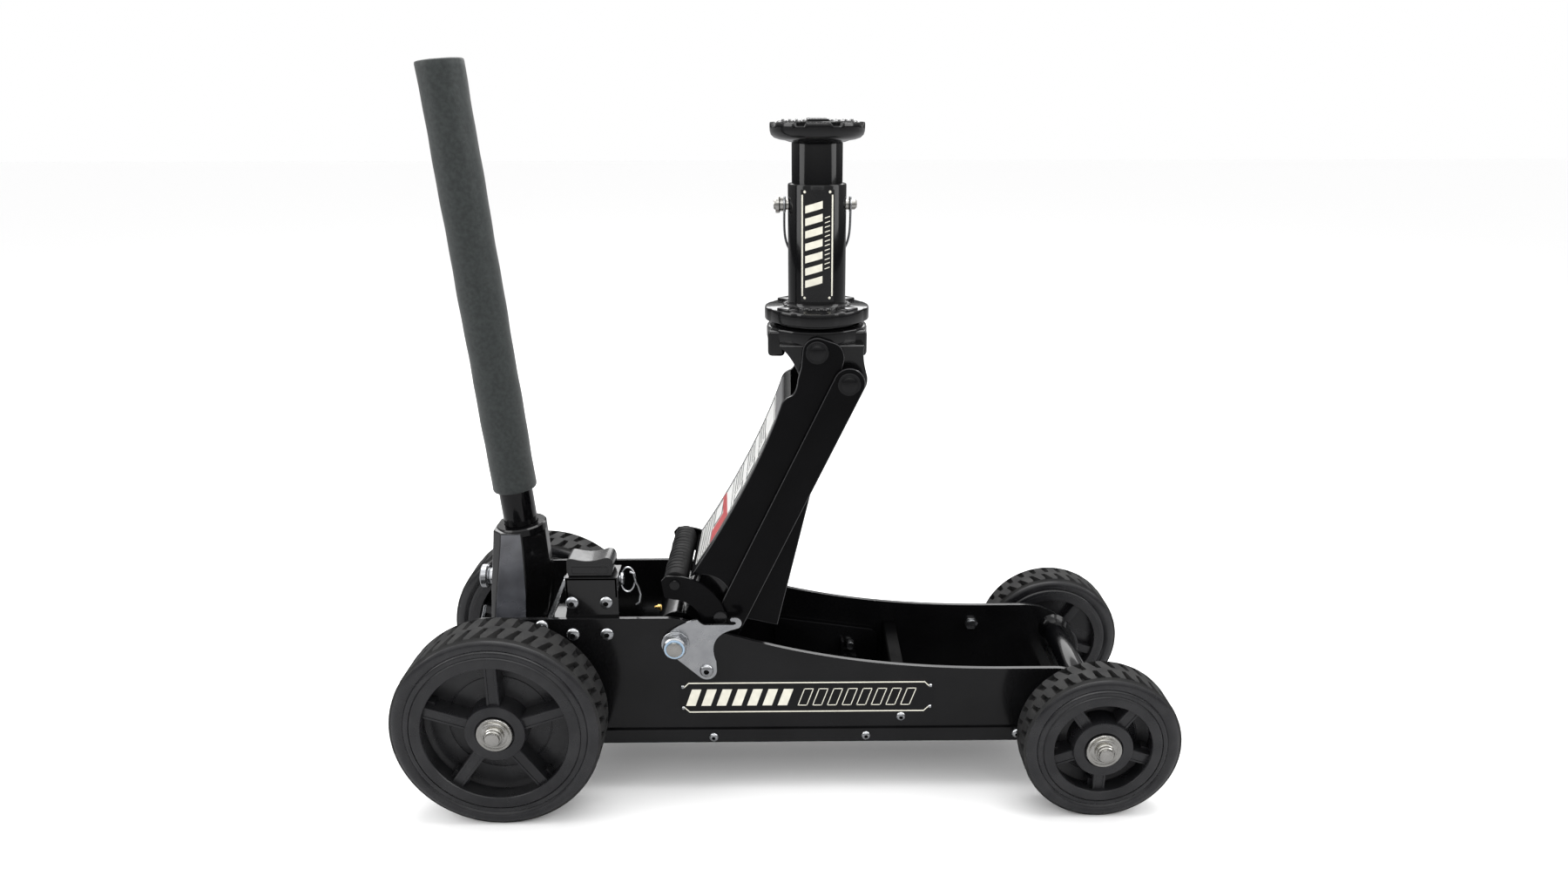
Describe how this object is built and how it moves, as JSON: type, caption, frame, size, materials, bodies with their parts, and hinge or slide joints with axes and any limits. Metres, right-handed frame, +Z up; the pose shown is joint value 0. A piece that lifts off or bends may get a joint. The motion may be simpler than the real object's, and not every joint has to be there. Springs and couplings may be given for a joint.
{
  "type": "hydraulic floor jack",
  "caption": "Off-road hydraulic floor jack with raised lift arm, telescopic saddle post, large treaded wheels, skid pan, socketed pump handle and carrying grip.",
  "frame": {"origin": "on the ground, under the middle of the outline of the whole jack", "axes": "+X towards the saddle end, +Y towards the jack's left side, +Z up"},
  "size_m": [0.8644, 0.324, 0.8117],
  "materials": {
    "gloss_black": "gloss black powder coat",
    "cast_black": "gloss black paint over steel and castings",
    "zinc": "bright zinc plate",
    "steel": "ground steel",
    "foam": "matte charcoal foam rubber",
    "grip_rubber": "matte black rubber",
    "cradle_rubber": "satin black moulding",
    "tyre": "matte black tread rubber",
    "rim": "satin black moulded wheel"
  },
  "bodies": {
    "frame": {"side_plate_near": "gloss_black", "side_plate_far": "gloss_black", "skid_pan": "gloss_black", "front_cross_tube": "gloss_black", "mid_cross_member": "gloss_black", "rear_axle": "steel", "front_axle": "steel", "power_unit": "cast_black", "ram_cylinder": "cast_black", "arm_pivot_shaft": "steel", "arm_pivot_nut": "zinc", "link_stub_near": "zinc", "link_stub_far": "zinc", "handle_pivot_shaft": "steel", "hook_bracket_near": "zinc", "hook_bracket_far": "zinc", "rest_bracket": "gloss_black", "rest_cradle": "cradle_rubber", "rear_near_washer": "zinc", "rear_near_nut": "zinc", "rear_far_washer": "zinc", "rear_far_nut": "zinc", "front_near_washer": "zinc", "front_near_nut": "zinc", "front_far_washer": "zinc", "front_far_nut": "zinc"},
    "lift_arm": {"arm_plate_near": "gloss_black", "arm_plate_far": "gloss_black", "arm_root": "cast_black", "arm_cover": "gloss_black", "ram_pin": "steel", "head_pin": "gloss_black"},
    "links": {"link_near": "gloss_black", "link_far": "gloss_black", "link_pin": "gloss_black"},
    "head": {"saddle_head": "cast_black"},
    "post": {"extension_base": "cast_black"},
    "inner_post": {"extension_slide": "cast_black"},
    "saddle": {"top_saddle": "cast_black"},
    "lock_pin": {"quick_pin": "zinc"},
    "bail": {"pin_bail": "zinc"},
    "ram": {"ram_rod": "steel"},
    "plunger": {"pump_plunger": "steel"},
    "valve": {"release_valve": "steel"},
    "socket": {"handle_socket": "cast_black"},
    "clamp": {"clamp_screw": "zinc"},
    "handle": {"handle_tube": "gloss_black", "handle_sleeve": "foam"},
    "carry_handle": {"carry_arm_near": "gloss_black", "carry_arm_far": "gloss_black", "carry_grip": "grip_rubber"},
    "storage_pin": {"rest_pin": "zinc"},
    "wheel_rear_near": {"rear_near_tyre": "tyre", "rear_near_rim": "rim"},
    "wheel_rear_far": {"rear_far_tyre": "tyre", "rear_far_rim": "rim"},
    "wheel_front_near": {"front_near_tyre": "tyre", "front_near_rim": "rim"},
    "wheel_front_far": {"front_far_tyre": "tyre", "front_far_rim": "rim"}
  },
  "joints": [
    {"name": "rear_near_spin", "type": "hinge", "parent": "frame", "child": "wheel_rear_near", "pos_m": [-0.31725, 0, 0.115], "axis": [0, 1, 0], "continuous": true},
    {"name": "rear_far_spin", "type": "hinge", "parent": "frame", "child": "wheel_rear_far", "pos_m": [-0.31725, 0, 0.115], "axis": [0, 1, 0], "continuous": true},
    {"name": "front_near_spin", "type": "hinge", "parent": "frame", "child": "wheel_front_near", "pos_m": [0.34475, 0, 0.0875], "axis": [0, 1, 0], "continuous": true},
    {"name": "front_far_spin", "type": "hinge", "parent": "frame", "child": "wheel_front_far", "pos_m": [0.34475, 0, 0.0875], "axis": [0, 1, 0], "continuous": true},
    {"name": "arm_lift", "type": "hinge", "parent": "frame", "child": "lift_arm", "pos_m": [-0.12625, 0, 0.187], "axis": [0, 1, 0], "range_deg": [0, 62]},
    {"name": "link_swing", "type": "hinge", "parent": "frame", "child": "links", "pos_m": [-0.09225, 0, 0.154], "axis": [0, 1, 0], "range_deg": [0, 62]},
    {"name": "head_level", "type": "hinge", "parent": "lift_arm", "child": "head", "pos_m": [0.03175, 0, 0.515], "axis": [0, 1, 0], "range_deg": [-62, 0]},
    {"name": "ram_slide", "type": "slide", "parent": "frame", "child": "ram", "axis": [1, 0, 0], "range_m": [-0.0902, 0.0002]},
    {"name": "post_lift", "type": "slide", "parent": "head", "child": "post", "axis": [0, 0, 1], "range_m": [0, 0.06]},
    {"name": "inner_post_slide", "type": "slide", "parent": "post", "child": "inner_post", "axis": [0, 0, 1], "range_m": [0, 0.075]},
    {"name": "saddle_swivel", "type": "hinge", "parent": "inner_post", "child": "saddle", "pos_m": [0.03275, 0, 0.74], "axis": [0, 0, 1], "continuous": true},
    {"name": "lock_pin_pull", "type": "slide", "parent": "post", "child": "lock_pin", "axis": [-1, 0, 0], "range_m": [0, 0.095]},
    {"name": "bail_swing", "type": "hinge", "parent": "post", "child": "bail", "pos_m": [0.03275, 0, 0.663], "axis": [1, 0, 0], "range_deg": [0, 92]},
    {"name": "handle_pump", "type": "hinge", "parent": "frame", "child": "socket", "pos_m": [-0.31125, 0, 0.178], "axis": [0, 1, 0], "range_deg": [-60, 8]},
    {"name": "plunger_stroke", "type": "slide", "parent": "frame", "child": "plunger", "axis": [1, 0, 0], "range_m": [-0.003, 0.021]},
    {"name": "handle_twist", "type": "hinge", "parent": "socket", "child": "handle", "pos_m": [-0.30965, 0, 0.3], "axis": [-0.088, 0, 0.9961], "range_deg": [-90, 90]},
    {"name": "valve_turn", "type": "hinge", "parent": "frame", "child": "valve", "pos_m": [-0.30725, -0.032, 0.082], "axis": [1, 0, 0], "range_deg": [-90, 90]},
    {"name": "clamp_screw_turn", "type": "hinge", "parent": "socket", "child": "clamp", "pos_m": [-0.35725, 0, 0.233], "axis": [-1, 0, 0], "continuous": true},
    {"name": "carry_swing", "type": "hinge", "parent": "frame", "child": "carry_handle", "pos_m": [-0.12625, 0, 0.187], "axis": [0, 1, 0], "range_deg": [-20, 0]},
    {"name": "storage_pin_pull", "type": "slide", "parent": "frame", "child": "storage_pin", "axis": [1, 0, 0], "range_m": [0, 0.02]}
  ],
  "couplings": [
    {"joint": "link_swing", "follows": "arm_lift", "ratio": 1},
    {"joint": "head_level", "follows": "arm_lift", "ratio": -1},
    {"joint": "ram_slide", "follows": "arm_lift", "m_per_rad": -0.0832},
    {"joint": "plunger_stroke", "follows": "handle_pump", "m_per_rad": -0.02},
    {"joint": "valve_turn", "follows": "handle_twist", "ratio": 1}
  ]
}
